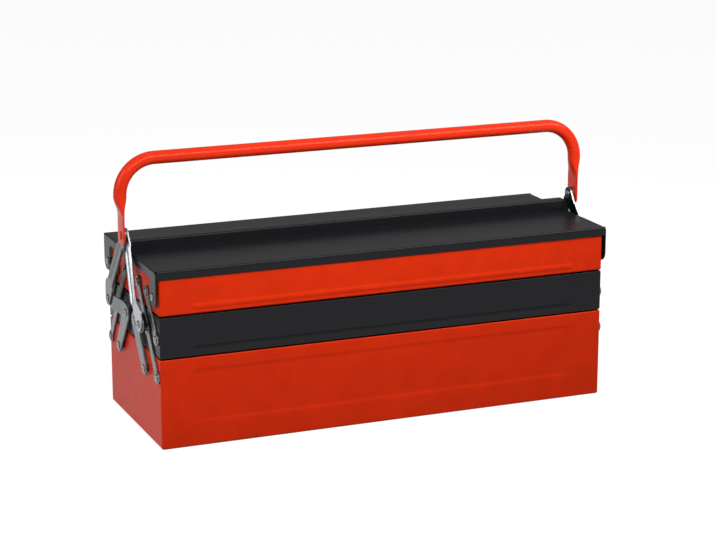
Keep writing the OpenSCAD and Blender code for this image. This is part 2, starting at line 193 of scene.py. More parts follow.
class LinkSizes(bpy.types.PropertyGroup):
    """Sizes of the links, levers, arms and rivets."""

    eye: length_property("Eye", "Radius of the eyes of the links", 7, 5, 9)
    waist: length_property("Waist", "Half the width of a link between its eyes", 4.5, 3, 6)
    lever_foot: length_property("Lever foot", "Radius of a lever's lower end", 7.5, 5, 9)
    lever_crank: length_property(
        "Lever crank", "Radius of a lever at the tray's pivot", 10.5, 8, 12,
    )
    lever_elbow: length_property("Lever elbow", "Radius of a lever at the arm's pivot", 9.5, 7, 11)
    set_from: length_property(
        "Set from",
        "Where a lever starts to be set outwards, from its leg's middle line",
        12, 10, 14,
    )
    set_run: length_property("Set run", "Width over which a lever is set outwards", 16, 10, 18)
    arm: length_property("Arm", "Half the width of an arm", 8, 5, 10)
    arm_flange: length_property("Arm flange", "Height of an arm's edge flanges", 1.8, 1, 3.5)
    flange_from: length_property(
        "Flange from", "Distance of the flanges' upper end from the handle's pivot", 14.5, 14, 30,
    )
    flange_to: length_property(
        "Flange to", "Distance of the flanges' lower end from the elbow", 24, 12, 40,
    )
    knuckle: length_property("Knuckle", "Radius of an arm's wide lower part", 11.5, 9, 11.8)
    knuckle_out: length_property(
        "Knuckle offset", "Offset of the wide part from the arm's middle line", 4.5, 4, 5,
    )
    knuckle_back: length_property(
        "Knuckle distance", "Distance of the front arms' wide part above the elbow", 9, 4, 14,
    )
    rear_knuckle_back: length_property(
        "Rear knuckle", "Distance of the rear arms' wide part above the elbow", 13, 4, 15,
    )
    pin: length_property("Rivet", "Radius of the link rivets", 2.5, 2, 3)
    handle_pin: length_property("Handle rivet", "Radius of the handle's rivets", 3, 2.5, 3.5)
    clearance: length_property("Clearance", "Radial clearance round every rivet", 0.06, 0.02, 0.1)
    head: length_property("Head", "Radius of the link rivets' heads", 4.5, 4, 5.5)
    handle_head: length_property("Handle head", "Radius of the handle rivets' heads", 4.8, 4.6, 6)
    head_height: length_property("Head height", "Thickness of the rivet heads", 1.3, 1, 1.6)
    head_gap: length_property(
        "Head gap", "Gap between a rivet's head and the piece that turns under it", 0.2, 0.1, 0.3,
    )
    rear_play: length_property(
        "Rear play", "Extra radius of the rear arms' holes for the handle's rivets", 1, 0.8, 2,
    )
    segments: IntProperty(
        name="Segments", description="Segments round a rivet", default=40, min=12, max=96,
    )


class HandleSizes(bpy.types.PropertyGroup):
    """Sizes of the carrying handle."""

    tube: length_property("Tube", "Outer diameter of the tube", 15, 12, 18)
    bend: length_property("Bend", "Bend radius to the tube's middle", 40, 25, 45)
    flat_width: length_property("Flat width", "Width of the flattened ends", 23, 16, 24)
    flat_rise: length_property(
        "Flat rise", "Height of the flat stretch above the handle's pivot", 20, 20, 28,
    )
    flat_drop: length_property(
        "Flat drop",
        "Distance of the flattened ends' lower edge below the handle's pivot",
        10, 8, 10,
    )
    flat_corner: length_property("Flat corner", "Corner radius of that lower edge", 5, 4, 8)
    flat_run: length_property("Flat run", "Length over which the tube is flattened", 25, 8, 30)


class Finishes(bpy.types.PropertyGroup):
    """Colours of the coats and of the plated steel."""

    red: colour_property(
        "Red coat", "Powder coat of the bottom box and the top trays", (0.66, 0.028, 0.004),
    )
    black: colour_property(
        "Black coat", "Powder coat of the middle trays and the lids", (0.0085, 0.0088, 0.0105),
    )
    handle: colour_property("Handle paint", "Gloss paint of the handle", (0.66, 0.026, 0.004))
    zinc: colour_property(
        "Zinc", "Zinc plating of the links, levers and rear arms", (0.19, 0.20, 0.207),
    )
    # Painted reflection: the front arms' zinc is a lighter copy of the same plating, standing in
    # for the brighter room they reflect.
    bright_zinc: colour_property(
        "Bright zinc", "Zinc plating of the front arms", (0.40, 0.42, 0.44),
    )
    # Painted shade: the arms' faces towards the box get a near-black copy of the zinc, standing in
    # for the shade they lie in.
    shaded_inner_zinc: colour_property(
        "Inner zinc", "Dull plating of the arms' inner faces", (0.016, 0.017, 0.018),
    )
    rivet: colour_property("Rivet steel", "Plated steel of the rivets", (0.25, 0.25, 0.25))


class StudioSizes(bpy.types.PropertyGroup):
    """Camera and lamps of the stage."""

    azimuth: FloatProperty(
        name="Azimuth", description="Direction of the camera round the box",
        default=math.radians(-22.397), subtype="ANGLE", unit="ROTATION",
    )
    elevation: FloatProperty(
        name="Elevation", description="Height angle of the camera",
        default=math.radians(14.605), subtype="ANGLE", unit="ROTATION",
    )
    distance: FloatProperty(
        name="Distance", description="Distance of the camera from its target",
        default=2.54271, min=0.5, subtype="DISTANCE", unit="LENGTH",
    )
    aim: FloatVectorProperty(
        name="Aim", description="Point that the camera looks at",
        default=(0.00222, 0.0, 0.15406), size=3, subtype="TRANSLATION", unit="LENGTH",
    )
    lens: FloatProperty(
        name="Lens", description="Focal length in millimetres", default=109.74, min=20,
    )
    key: FloatProperty(
        name="Overhead lamp", description="Power of the lamp above the front",
        default=5.6, min=0, unit="POWER",
    )
    side: FloatProperty(
        name="Side lamp", description="Power of the lamp at the left end",
        default=7.0, min=0, unit="POWER",
    )
    zenith: FloatProperty(
        name="Ceiling", description="Brightness of the room overhead", default=0.44, min=0,
    )
    horizon: FloatProperty(
        name="Walls", description="Brightness of the room's walls", default=0.23, min=0,
    )


# --- Drawing helpers ---


def on_ring(centre, radius, angle):
    """Point at an angle on a ring."""
    return Vector((centre[0] + radius * math.cos(angle), centre[1] + radius * math.sin(angle)))


def arc(centre, radius, start, stop, steps):
    """Points on an arc, angles in radians."""
    return [on_ring(centre, radius, start + (stop - start) * i / steps) for i in range(steps + 1)]


def circle(centre, radius, steps=40):
    """A closed ring of points."""
    return arc(centre, radius, 0, 2 * math.pi * (steps - 1) / steps, steps - 1)


def quarter_turn(steps):
    """Angles from 0 to a right angle."""
    return [math.pi / 2 * i / steps for i in range(steps + 1)]


def tangent_angles(a, b, ra, rb):
    """Directions to the two tangent points of a tapered bar from a to b."""
    along = math.atan2(b[1] - a[1], b[0] - a[0])
    half = math.acos((ra - rb) / (b - a).length)
    return along + half, along - half


def meet(p, d, q, e):
    """Where the line through p along d crosses the line through q along e."""
    cross = d.x * e.y - d.y * e.x
    t = ((q.x - p.x) * e.y - (q.y - p.y) * e.x) / cross
    return p + d * t


def blend_corner(before, corner, after, reach, steps=8):
    """A smooth curve that replaces a corner, starting and ending at reach from it."""
    p = corner + (before - corner).normalized() * reach
    q = corner + (after - corner).normalized() * reach
    return [
        p * (1 - t) ** 2 + corner * 2 * t * (1 - t) + q * t * t
        for t in [i / steps for i in range(steps + 1)]
    ]


def ease(value):
    """Smooth step from 0 to 1."""
    value = min(max(value, 0.0), 1.0)
    return value * value * (3 - 2 * value)


def spread(stops, step):
    """Values from the first stop to the last, with every stop in them and gaps of at most step."""
    out = [stops[0]]
    for a, b in zip(stops, stops[1:]):
        n = max(1, math.ceil((b - a) / step - 1e-9))
        out += [a + (b - a) * (i + 1) / n for i in range(n)]
    return out


def merged(*runs):
    """Every value of several (stops, step) runs once, in order."""
    return sorted({round(value, 7) for stops, step in runs for value in spread(stops, step)})


def finish_mesh(name, bm, half, end, body, nodes, coat, sharp=32):
    """Mirrors a mesh to its corner, shades it and rides it on its body in place of its CAD nodes.

    Edges that turn by more than sharp, in degrees, stay sharp.
    """
    bmesh.ops.remove_doubles(bm, verts=bm.verts, dist=MERGE)
    bmesh.ops.dissolve_degenerate(bm, edges=bm.edges, dist=TINY)
    for v in bm.verts:
        v.co.x *= end
        v.co.y *= half
    bmesh.ops.recalc_face_normals(bm, faces=bm.faces)
    if bm.calc_volume(signed=True) < 0:
        bmesh.ops.reverse_faces(bm, faces=bm.faces)
    limit = math.radians(sharp)
    for f in bm.faces:
        f.smooth = True
    for e in bm.edges:
        e.smooth = len(e.link_faces) == 2 and e.calc_face_angle(0) < limit
    mesh = bpy.data.meshes.new(name)
    bm.to_mesh(mesh)
    bm.free()
    mesh.materials.append(coat)
    piece = bpy.data.objects.new(name, mesh)
    bpy.context.scene.collection.objects.link(piece)
    even = piece.modifiers.new("Even shading", "WEIGHTED_NORMAL")
    even.keep_sharp = True
    even.weight = 80  # large flat faces count for more, so that they look flat
    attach(piece, body)
    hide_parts(*nodes)
    return piece


def add_loops(bm, rings, closed_first=True):
    """Quads between rings of equally many points, and a face across the last and the first ring."""
    made = [[bm.verts.new(p) for p in ring] for ring in rings]
    for a, b in zip(made, made[1:]):
        for i in range(len(a)):
            j = (i + 1) % len(a)
            bm.faces.new((a[i], a[j], b[j], b[i]))
    if closed_first:
        bm.faces.new(made[0])
    bm.faces.new(made[-1])
    return made


def blank(outline, holes, thickness, rounding):
    """A flat blank with eased edges: outline and holes in (u, v), and w from 0 to the thickness.

    The curve is filled at a thousand times its size, where points this close stay apart.
    """
    up = 1000
    curve = bpy.data.curves.new("blank", "CURVE")
    curve.dimensions = "2D"
    curve.fill_mode = "BOTH"
    curve.extrude = thickness / 2 - rounding
    curve.bevel_depth = rounding
    curve.bevel_resolution = 2
    curve.offset = -rounding
    for size in ("extrude", "bevel_depth", "offset"):
        setattr(curve, size, getattr(curve, size) * up)
    for ring in [outline] + [list(reversed(hole)) for hole in holes]:
        line = curve.splines.new("POLY")
        line.points.add(len(ring) - 1)
        for point, at in zip(line.points, ring):
            point.co = (at[0] * up, at[1] * up, 0, 1)
        line.use_cyclic_u = True
    holder = bpy.data.objects.new("blank", curve)
    bpy.context.scene.collection.objects.link(holder)
    view = bpy.context.evaluated_depsgraph_get()
    mesh = bpy.data.meshes.new_from_object(holder.evaluated_get(view))
    bm = bmesh.new()
    bm.from_mesh(mesh)
    bpy.data.objects.remove(holder)
    bpy.data.curves.remove(curve)
    bpy.data.meshes.remove(mesh)
    bmesh.ops.remove_doubles(bm, verts=bm.verts, dist=MERGE * up)
    for v in bm.verts:
        v.co = Vector((v.co.x / up, v.co.y / up, v.co.z / up + thickness / 2))
    return bm


def cut_lines(bm, origin, direction, distances):
    """Cuts a blank along lines square to a direction, at distances from the origin."""
    along = Vector((direction[0], direction[1], 0)).normalized()
    start = Vector((origin[0], origin[1], 0))
    for d in distances:
        bmesh.ops.bisect_plane(
            bm, geom=bm.verts[:] + bm.edges[:] + bm.faces[:], dist=TINY,
            plane_co=start + along * d, plane_no=along,
        )


def stand_up(bm, x0):
    """Turns a blank drawn in (y, z) into an end plate that starts at x0."""
    for v in bm.verts:
        v.co = Vector((x0 + v.co.z, v.co.x, v.co.y))


# --- Finishes ---


class Nodes:
    """Short hand for wiring a node tree."""

    def __init__(self, tree):
        self.tree = tree

    def add(self, kind, **values):
        """A node with its sockets and settings."""
        node = self.tree.nodes.new(kind)
        for key, value in values.items():
            if key in node.inputs:
                node.inputs[key].default_value = value
            else:
                setattr(node, key, value)
        return node

    def join(self, out, socket):
        self.tree.links.new(out, socket)

    def remap(self, value, low_in, high_in, low, high, curve="LINEAR"):
        """A value's range from low_in to high_in, stretched to low and high."""
        node = self.add("ShaderNodeMapRange", interpolation_type=curve)
        self.join(value, node.inputs["Value"])
        ends = {"From Min": low_in, "From Max": high_in, "To Min": low, "To Max": high}
        for socket, number in ends.items():
            node.inputs[socket].default_value = number
        return node.outputs["Result"]


class Coat(Nodes):
    """Short hand for one coat, whose pattern is fixed to its piece."""

    def __init__(self, name):
        self.material = bpy.data.materials.new(name)
        self.material.use_nodes = True
        super().__init__(self.material.node_tree)
        self.inputs = self.tree.nodes["Principled BSDF"].inputs
        self.place = self.add("ShaderNodeTexCoord").outputs["Object"]

    def set(self, socket, value):
        """Gives a socket of the shader one value all over the piece."""
        self.inputs[socket].default_value = value

    def noise(self, scale, detail=2.0, roughness=0.5, stretch=None):
        """Noise with features of about a metre over scale, stretched along an axis if asked."""
        node = self.add("ShaderNodeTexNoise", Scale=scale, Detail=detail, Roughness=roughness)
        source = self.place
        if stretch:
            mapping = self.add("ShaderNodeMapping", Scale=stretch)
            self.join(source, mapping.inputs["Vector"])
            source = mapping.outputs["Vector"]
        self.join(source, node.inputs["Vector"])
        return node.outputs["Fac"]

    def span(self, noise, low, high):
        """Noise, which mostly lies between 0.3 and 0.7, stretched to low and high."""
        return self.remap(noise, 0.3, 0.7, low, high)

    def tint(self, value, first, second):
        """A blend of two colours."""
        node = self.add("ShaderNodeMix", data_type="RGBA")
        self.join(value, node.inputs["Factor"])
        node.inputs["A"].default_value = (*first, 1)
        node.inputs["B"].default_value = (*second, 1)
        return node.outputs["Result"]

    def painted_crevice_shade(self, colour, reach, low):
        """Painted shade: darkens a colour in folds and gaps narrower than reach, down to low of
        itself.
        """
        near = self.add("ShaderNodeAmbientOcclusion", samples=8, Distance=reach)
        deep, clear = 0.35, 0.97
        kept = self.remap(near.outputs["AO"], deep, clear, low, 1)
        mix = self.add("ShaderNodeMix", data_type="RGBA", blend_type="MULTIPLY")
        mix.inputs["Factor"].default_value = 1
        self.join(colour, mix.inputs["A"])
        self.join(kept, mix.inputs["B"])
        return mix.outputs["Result"]

    def bump(self, height, strength, distance, below=None):
        """A bump of a height, on top of the one below."""
        node = self.add("ShaderNodeBump", Strength=strength, Distance=distance)
        self.join(height, node.inputs["Height"])
        if below is not None:
            self.join(below, node.inputs["Normal"])
        return node.outputs["Normal"]


def shade(colour, factor):
    """A colour made lighter or darker."""
    return tuple(min(1.0, c * factor) for c in colour)


def powder_coat(name, colour, rough, grain, gloss):
    """Powder coat: a fine orange peel over slow ripples, with a faint mottle in tone and gloss."""
    m = Coat(name)
    mottle = m.span(m.noise(38, detail=3, roughness=0.6), 0, 1)
    m.join(m.tint(mottle, shade(colour, 0.93), shade(colour, 1.06)), m.inputs["Base Color"])
    m.join(m.span(m.noise(420), rough - 0.035, rough + 0.045), m.inputs["Roughness"])
    ripple = m.bump(m.noise(55, detail=1, roughness=0.4), strength=0.10, distance=0.6 * MM)
    peel = m.bump(m.noise(650, roughness=0.55), grain, distance=0.12 * MM, below=ripple)
    m.join(peel, m.inputs["Normal"])
    m.set("Specular IOR Level", gloss)
    return m.material


def gloss_paint(name, colour):
    """Gloss paint on tube: smooth, with faint runs and a soft flow along the tube."""
    m = Coat(name)
    tone = m.span(m.noise(26), 0, 1)
    m.join(m.tint(tone, shade(colour, 0.94), shade(colour, 1.05)), m.inputs["Base Color"])
    m.join(m.span(m.noise(160), 0.20, 0.28), m.inputs["Roughness"])
    flow = m.bump(m.noise(70, stretch=(0.25, 1, 1)), strength=0.22, distance=0.8 * MM)
    runs = m.bump(m.noise(420, detail=1), strength=0.05, distance=0.1 * MM, below=flow)
    m.join(runs, m.inputs["Normal"])
    m.set("Specular IOR Level", 0.10)
    m.set("Coat Weight", 0.07)
    m.set("Coat Roughness", 0.08)
    return m.material


def plated_steel(name, colour, rough, grain):
    """Zinc plating: cloudy passivation over rolled sheet with faint scratches."""
    m = Coat(name)
    cloud = m.span(m.noise(120, detail=4, roughness=0.62), 0, 1)
    plating = m.tint(cloud, shade(colour, 0.88), shade(colour, 1.10))
    # Painted shade: the plating's colour is darkened in its folds and gaps.
    m.join(m.painted_crevice_shade(plating, reach=4 * MM, low=0.35), m.inputs["Base Color"])
    scuffs = m.noise(300, detail=3, roughness=0.6)
    m.join(m.span(scuffs, rough - 0.06, rough + 0.08), m.inputs["Roughness"])
    streaks = m.noise(260, detail=3, roughness=0.6, stretch=(1, 0.35, 1.6))
    rolled = m.bump(streaks, strength=0.05, distance=0.2 * MM)
    plated = m.bump(m.noise(1500), grain, distance=0.06 * MM, below=rolled)
    m.join(plated, m.inputs["Normal"])
    m.set("Metallic", 0.9)
    return m.material


COATS = {
    "red": (powder_coat, "red_powder_coat", {"rough": 0.36, "grain": 0.30, "gloss": 0.06}),
    "black": (powder_coat, "black_powder_coat", {"rough": 0.30, "grain": 0.42, "gloss": 0.145}),
    "handle": (gloss_paint, "red_gloss_paint", {}),
    "zinc": (plated_steel, "zinc_plated_sheet", {"rough": 0.40, "grain": 0.06}),
    # Painted shade: a near-black copy of the zinc for the arms' faces towards the box.
    "shaded_inner_zinc": (plated_steel, "dull_plated_inner_face", {"rough": 0.42, "grain": 0.05}),
    # Painted reflection: a lighter copy of the zinc for the front arms.
    "bright_zinc": (plated_steel, "bright_zinc_plated_sheet", {"rough": 0.34, "grain": 0.05}),
    "rivet": (plated_steel, "plated_rivet_steel", {"rough": 0.26, "grain": 0.05}),
}
FINISH = {}


def finish(kind):
    """The material of a coat; all of them are made when the first is asked for."""
    if not FINISH:
        for name, (make, title, settings) in COATS.items():
            colour = tuple(getattr(bpy.context.scene.finishes, name))
            FINISH[name] = make(title, colour, **settings)
    return FINISH[kind]


# --- Trays and the bottom box ---


def pressed_in(x, z, box, corner, slope):
    """Share of the full depth at (x, z) of a pocket with rounded corners and sloping sides."""
    x0, z0, x1, z1 = box
    half = Vector(((x1 - x0) / 2, (z1 - z0) / 2))
    qx = abs(x - (x0 + x1) / 2) - half.x + corner
    qz = abs(z - (z0 + z1) / 2) - half.y + corner
    outside = math.hypot(max(qx, 0), max(qz, 0)) + min(max(qx, qz), 0) - corner
    return ease(0.5 - outside / slope)


def pan_mesh(half_x, y0, y1, z0, z1, sizes, pocket, corner, slope, depth_in, pressed_sides):
    """A sheet-steel pan with rounded bends, a rolled hem and a panel or bead in its long walls.

    The pocket is the box that is pressed in, and a depth below zero stands out of the wall.
    """
    sheet, bend, hem = sizes.sheet, sizes.bend, sizes.hem
    px0, pz0, px1, pz1 = pocket
    middle = (pz0 + pz1) / 2
    reach = max(corner, 2 * MM) + slope
    fine = 0.45 * MM if corner < 4.5 * MM else 0.6 * MM  # gap of the lines over a sloping side
    wall_gap, rise_gap = 30 * MM, 8 * MM
    low_side, high_side = min(pz0 + reach, middle), max(pz1 - reach, middle)
    x_lines = merged(
        ([px0 - slope, px0 + reach], fine),
        ([px1 - reach, px1 + slope], fine),
        ([-half_x + bend, half_x - bend], wall_gap),
    )
    z_lines = merged(
        ([z0 + bend, pz0 - slope], rise_gap),
        ([pz0 - slope, low_side], fine),
        ([low_side, high_side], rise_gap),
        ([high_side, pz1 + slope], fine),
        ([pz1 + slope, z1 - sizes.hem_height], rise_gap),
    )[1:]
    y_lines = spread([y0 + bend, y1 - bend], wall_gap)

    def ring(inset, z, pressed=False):
        """Points round the pan at a height and a distance inside its outer face."""
        radius = max(bend - inset, 0.05 * MM)
        xa, xb, ya, yb = -half_x + inset, half_x - inset, y0 + inset, y1 - inset

        def depth(x, side):
            if not pressed or side not in pressed_sides:
                return 0.0
            return depth_in * pressed_in(x, z, pocket, corner, slope)

        def bend_points(x, y, start):
            turn = arc((x, y), radius, start, start + math.pi / 2, 6)
            return [Vector((p.x, p.y, z)) for p in turn]

        along_x = [min(max(x, xa + radius), xb - radius) for x in x_lines]
        along_y = [min(max(y, ya + radius), yb - radius) for y in y_lines]
        points = [Vector((x, ya + depth(x, "near"), z)) for x in along_x]
        points += bend_points(xb - radius, ya + radius, -math.pi / 2)
        points += [Vector((xb, y, z)) for y in along_y]
        points += bend_points(xb - radius, yb - radius, 0)
        points += [Vector((x, yb - depth(x, "far"), z)) for x in reversed(along_x)]
        points += bend_points(xa + radius, yb - radius, math.pi / 2)
        points += [Vector((xa, y, z)) for y in reversed(along_y)]
        points += bend_points(xa + radius, ya + radius, math.pi)
        return points

    def floor_bend(inset, radius):
        """Rings of the bend between the floor and the walls, from the floor up."""
        return [
            ring(inset + radius * (1 - math.sin(a)), z0 + inset + radius * (1 - math.cos(a)))
            for a in quarter_turn(6)
        ]

    h = hem / 2
    rim = z1 - sizes.hem_height
    lip, slack, lag = 0.3 * MM, 0.1 * MM, 0.02 * MM
    rings = floor_bend(0, bend)
    rings += [ring(0, z, True) for z in z_lines]
    for i in range(9):
        a = math.pi * i / 8
        rings.append(ring(h - h * math.cos(a), z1 - h + h * math.sin(a)))
    rings.append(ring(hem, rim + lip))
    rings.append(ring(hem - lip * 0.3, rim + lip * 0.3))
    rings.append(ring(hem - lip, rim))
    rings.append(ring(sheet + slack, rim))
    rings += [ring(sheet, z - lag, True) for z in reversed(z_lines)]
    rings += reversed(floor_bend(sheet, bend - sheet))
    bm = bmesh.new()
    add_loops(bm, rings)
    return bm


def tray_pocket(sizes, z0):
    """Box of the long bead in a tray's outer wall."""
    half = END_X - sizes.bead_inset
    middle = z0 + sizes.bead_height
    return (-half, middle - sizes.bead_width / 2, half, middle + sizes.bead_width / 2)


def build_tray(half, level, coat, sizes):
    """One tray, with its bead on the outer wall."""
    node = f"{half}_{level}_tray"
    low, high = foot_of(node), top_of(node)
    inner_y = min(abs(low.y), abs(high.y))
    round_end = sizes.bead_width / 2 - 0.01 * MM
    bm = pan_mesh(
        END_X, inner_y, BODY_Y, low.z, high.z, sizes, tray_pocket(sizes, low.z),
        round_end, sizes.bead_slope, -sizes.bead_depth, ("far",),
    )
    finish_mesh(node + "_pressing", bm, HALVES[half], 1, node, [node], coat)


class TOOLBOX_OT_bottom_box(bpy.types.Operator):
    """Build the deep bottom box with its pressed panels"""

    bl_idname = "toolbox.bottom_box"
    bl_label = "Bottom box"

    def execute(self, context):
        sizes = context.scene.sheet_sizes
        half = END_X - sizes.bead_inset
        pocket = (-half, sizes.panel_foot, half, sizes.panel_head)
        bm = pan_mesh(
            END_X, -BODY_Y, BODY_Y, 0, top_of("bottom_box").z, sizes, pocket,
            sizes.panel_corner, sizes.panel_slope, sizes.panel_depth, ("near", "far"),
        )
        finish_mesh(
            "bottom_box_pressing", bm, 1, 1, "box", ["bottom_box"],
            finish("red"),
        )
        return {"FINISHED"}


class TOOLBOX_OT_middle_trays(bpy.types.Operator):
    """Build the two middle trays"""

    bl_idname = "toolbox.middle_trays"
    bl_label = "Middle trays"

    def execute(self, context):
        for half in HALVES:
            build_tray(
                half, "middle", finish("black"), context.scene.sheet_sizes,
            )
        return {"FINISHED"}


class TOOLBOX_OT_top_trays(bpy.types.Operator):
    """Build the two top trays"""

    bl_idname = "toolbox.top_trays"
    bl_label = "Top trays"

    def execute(self, context):
        for half in HALVES:
            build_tray(half, "top", finish("red"), context.scene.sheet_sizes)
        return {"FINISHED"}


# --- Lids ---


def lid_blank(inner_y, sizes, ridge):
    """Flat pattern of a lid in (x, y), with the ear of each end, slit off the front flange.

    A ridge is given as half the length and both sides of the hole under it.
    """
    outer_y = top_of("rear_lid").y
    bend = sizes.lid_bend
    turn = bend * math.pi / 2
    fold_x, fold_y = LID_X - bend, outer_y - bend
    drop = sizes.lid_flange - bend + turn
    side_u = fold_x + drop
    ear_u = fold_x + turn + LID_TOP - bend - HINGE[1]
    ear, fillet = sizes.ear, sizes.ear_fillet
    ear_y = outer_y - ear
    gap, corner = 0.15 * MM, 0.8 * MM
    slit_x = fold_x + turn + gap
    front_x = LID_X - sizes.sheet - gap
    right = [Vector((fold_x, inner_y))]
    right += arc((side_u - corner, inner_y + corner), corner, -math.pi / 2, 0, 4)
    right += reversed(
        arc((side_u + fillet, ear_y - ear - fillet), fillet, math.pi / 2, math.pi, 8)
    )
    right += arc((ear_u, ear_y), ear, -math.pi / 2, math.pi / 2, 28)
    right += [
        Vector(corner_at) for corner_at in (
            (slit_x, outer_y), (slit_x, fold_y + gap), (fold_x - gap, fold_y + gap),
            (fold_x - gap, fold_y + turn), (front_x, fold_y + turn), (front_x, fold_y + drop),
        )
    ]
    outline = right + [Vector((-p.x, p.y)) for p in reversed(right)]
    holes = [circle((side * ear_u, HINGE[0]), sizes.ear_bore, 28) for side in (1, -1)]
    if ridge:
        x, ya, yb = ridge
        holes.append([Vector(at) for at in ((-x, ya), (x, ya), (x, yb), (-x, yb))])
    return outline, holes


def fold_lid(bm, sizes):
    """Cuts the bend zones and folds the blank's ends and front down."""
    bend, sheet = sizes.lid_bend, sizes.sheet
    turn = bend * math.pi / 2
    fold_x, fold_y = LID_X - bend, top_of("rear_lid").y - bend
    cuts = [turn * i / 6 for i in range(7)]
    for side in (1, -1):
        cut_lines(bm, (0, 0), (side, 0), [fold_x + cut for cut in cuts])
    cut_lines(bm, (0, 0), (0, 1), [fold_y + cut for cut in cuts])

    def folded(flat, level, fold):
        """Distance outwards and height of a point, for a distance across the fold line."""
        over = flat - fold
        radius = bend - (sheet - level)
        if over <= 0:
            return flat, LID_TOP - (sheet - level)
        angle = min(over, turn) / bend
        out = fold + radius * math.sin(angle)
        high = LID_TOP - bend + radius * math.cos(angle)
        if over > turn:
            high -= over - turn
        return out, high

    for v in bm.verts:
        x, y, w = v.co
        beside_front = y <= fold_y + 0.05 * MM and abs(x) > fold_x
        past_bend = abs(x) > fold_x + turn - 0.001 * MM
        if beside_front or past_bend:
            out, high = folded(abs(x), w, fold_x)
            v.co = Vector((math.copysign(out, x), y, high))
        else:
            out, high = folded(y, w, fold_y)
            v.co = Vector((x, out, high))


def ridge_mesh(bm, inner_y, foot_x, height, sizes):
    """Hollow ridge along a lid's inner edge, with rounded upper edges."""
    top = LID_TOP + height
    r, t = sizes.ridge_bend, sizes.sheet
    outer_y = inner_y + sizes.ridge_width
    outer_corner, inner_corner, seat = 1.0 * MM, 0.4 * MM, 0.02 * MM

    def ring(inset, z, corner):
        """Points round the ridge at a height and a distance inside its outer face."""
        xa, xb = -foot_x + inset + corner, foot_x - inset - corner
        ya, yb = inner_y + inset + corner, outer_y - inset - corner
        centres = ((xb, ya), (xb, yb), (xa, yb), (xa, ya))
        points = []
        for centre, start in zip(centres, (-90, 0, 90, 180)):
            turn = arc(centre, corner, math.radians(start), math.radians(start + 90), 5)
            points += [Vector((p.x, p.y, z)) for p in turn]
        return points

    outside = [ring(0, LID_TOP - seat, outer_corner)]
    for a in quarter_turn(6):
        outside.append(ring(r - r * math.cos(a), top - r + r * math.sin(a), outer_corner))
    inside = [
        ring(inset, z, inner_corner)
        for inset, z in ((t, LID_TOP - t), (t, top - r), (t + r / 3, top - t))
    ]
    outer = add_loops(bm, outside, closed_first=False)
    inner = add_loops(bm, inside, closed_first=False)
    for i in range(len(outer[0])):
        j = (i + 1) % len(outer[0])
        bm.faces.new((outer[0][i], inner[0][i], inner[0][j], outer[0][j]))


class TOOLBOX_OT_lids(bpy.types.Operator):
    """Fold the two lids from flat blanks, and press the ridge of the rear one"""

    bl_idname = "toolbox.lids"
    bl_label = "Lids"

    def execute(self, context):
        sizes = context.scene.sheet_sizes
        t = sizes.sheet
        inner_y = min(abs(foot_of("rear_lid").y), abs(top_of("rear_lid").y))
        foot_x = LID_X - sizes.ridge_inset
        height = top_of("rear_lid").z - LID_TOP
        for half, h in HALVES.items():
            ridge = None
            if half == "rear":
                ridge = (foot_x - t, inner_y + t, inner_y + sizes.ridge_width - t)
            outline, holes = lid_blank(inner_y, sizes, ridge)
            bm = blank(outline, holes, t, t / 4)
            fold_lid(bm, sizes)
            if ridge:
                ridge_mesh(bm, inner_y, foot_x, height, sizes)
            finish_mesh(
                f"{half}_lid_folding", bm, h, 1, f"{half}_lid", [f"{half}_lid"],
                finish("black"),
            )
        return {"FINISHED"}


# --- Links, levers and arms ---


def eyed_outline(pivots, eye, waist, neck=1.8 * MM, steps=12):
    """Outline of a strip with a round eye at each pivot, all on one line, and eased necks."""
    a, b = pivots[0], pivots[-1]
    length = (b - a).length
    along = (b - a) / length
    across = Vector((-along.y, along.x))
    stations = [(p - a).dot(along) for p in pivots]

    def half_width(s):
        """Half the strip's width at a distance from the first pivot."""
        gap = min(abs(s - c) for c in stations)
        ring = math.sqrt(max(eye * eye - gap * gap, 0.0))
        if s <= 0 or s >= length:
            return ring
        near = max(neck - abs(ring - waist), 0.0) / neck
        return max(ring, waist) + near * near * neck / 4

    marks = [-eye * math.cos(math.pi / 2 * i / steps) for i in range(1, steps + 1)]
    marks += spread([0, length], 0.8 * MM)[1:-1]
    marks += [length + eye * math.sin(math.pi / 2 * i / steps) for i in range(steps)]
    lower = [a + along * s - across * half_width(s) for s in marks]
    upper = [a + along * s + across * half_width(s) for s in reversed(marks)]
    return [a - along * eye] + lower + [b + along * eye] + upper


class TOOLBOX_OT_links(bpy.types.Operator):
    """Punch the long links and the upper links"""

    bl_idname = "toolbox.links"
    bl_label = "Links"

    def execute(self, context):
        sizes = context.scene.link_sizes
        bore = sizes.pin + sizes.clearance
        kinds = {"long": [BOX_OUTER, MID_OUTER, TOP_INNER], "upper": [MID_UPPER, TOP_UPPER]}
        for kind, pivots in kinds.items():
            outline = eyed_outline(pivots, sizes.eye, sizes.waist)
            for half, end, h, e in CORNERS:
                node = f"{half}_{end}_{kind}_link"
                bm = blank(outline, [circle(p, bore) for p in pivots], STRIP, EASED_EDGE)
                stand_up(bm, LINK_X0)
                finish_mesh(
                    node + "_strip", bm, h, e, f"{half}_{kind}_links", [node],
                    finish("zinc"),
                )
        return {"FINISHED"}


def lever_outline(sizes):
    """Outline of the bell crank, counter-clockwise in (y, z)."""
    foot, crank, elbow = sizes.lever_foot, sizes.lever_crank, sizes.lever_elbow
    leg_left, leg_right = tangent_angles(BOX_INNER, MID_INNER, foot, crank)
    top_left, top_right = tangent_angles(MID_INNER, ELBOW, crank, elbow)
    throat = 7 * MM
    points = arc(BOX_INNER, foot, leg_left, leg_right + 2 * math.pi, 20)
    a, b = on_ring(BOX_INNER, foot, leg_right), on_ring(MID_INNER, crank, leg_right)
    c, d = on_ring(MID_INNER, crank, top_right), on_ring(ELBOW, elbow, top_right)
    inner = meet(a, b - a, c, d - c)
    points += blend_corner(a, inner, d, throat)
    points += arc(ELBOW, elbow, top_right, top_left, 20)
    points += arc(MID_INNER, crank, top_left, leg_left, 16)
    return points


